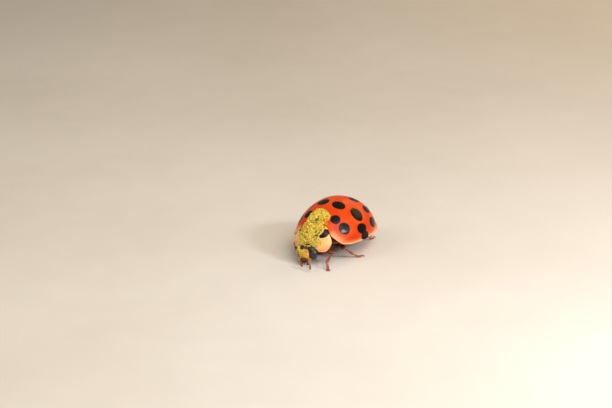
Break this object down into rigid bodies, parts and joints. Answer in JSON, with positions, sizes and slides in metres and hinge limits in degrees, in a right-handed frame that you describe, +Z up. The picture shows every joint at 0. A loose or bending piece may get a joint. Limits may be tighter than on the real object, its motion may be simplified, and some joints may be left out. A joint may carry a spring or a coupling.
{
  "type": "ladybird",
  "caption": "Life-size model of a harlequin ladybird with domed red wing cases, black spots and a pale shield behind the head, standing on its feet.",
  "frame": {"origin": "middle of the beetle's bounding box in plan, on the floor that its feet stand on", "axes": "+Z up; the beetle faces -Y and its left side is +X"},
  "size_m": [0.0064, 0.0092, 0.0039],
  "materials": {
    "elytra": null,
    "pronotum": "cream shield with a black mark",
    "scutellum": "black",
    "head": "pale face",
    "eye": "black, glossy",
    "mouth": "brown",
    "leg": "red-brown, satin",
    "feeler": "orange-brown",
    "underside": "dark brown",
    "abdomen": "red-brown"
  },
  "bodies": {
    "root": {"elytron_left": "elytra", "elytron_right": "elytra", "scutellum": "scutellum", "pronotum": "pronotum", "head": "head", "labrum": "mouth", "eye_left": "eye", "palp_left": "mouth", "antenna_left": "feeler", "eye_right": "eye", "palp_right": "mouth", "antenna_right": "feeler", "prothorax": "underside", "thorax": "underside", "abdomen": "abdomen", "front_left_coxa": "leg", "front_left_femur": "leg", "front_left_tibia": "leg", "front_left_tarsus": "leg", "front_right_coxa": "leg", "front_right_femur": "leg", "front_right_tibia": "leg", "front_right_tarsus": "leg", "mid_left_coxa": "leg", "mid_left_femur": "leg", "mid_left_tibia": "leg", "mid_left_tarsus": "leg", "mid_right_coxa": "leg", "mid_right_femur": "leg", "mid_right_tibia": "leg", "mid_right_tarsus": "leg", "hind_left_coxa": "leg", "hind_left_femur": "leg", "hind_left_tibia": "leg", "hind_left_tarsus": "leg", "hind_right_coxa": "leg", "hind_right_femur": "leg", "hind_right_tibia": "leg", "hind_right_tarsus": "leg"}
  },
  "joints": []
}
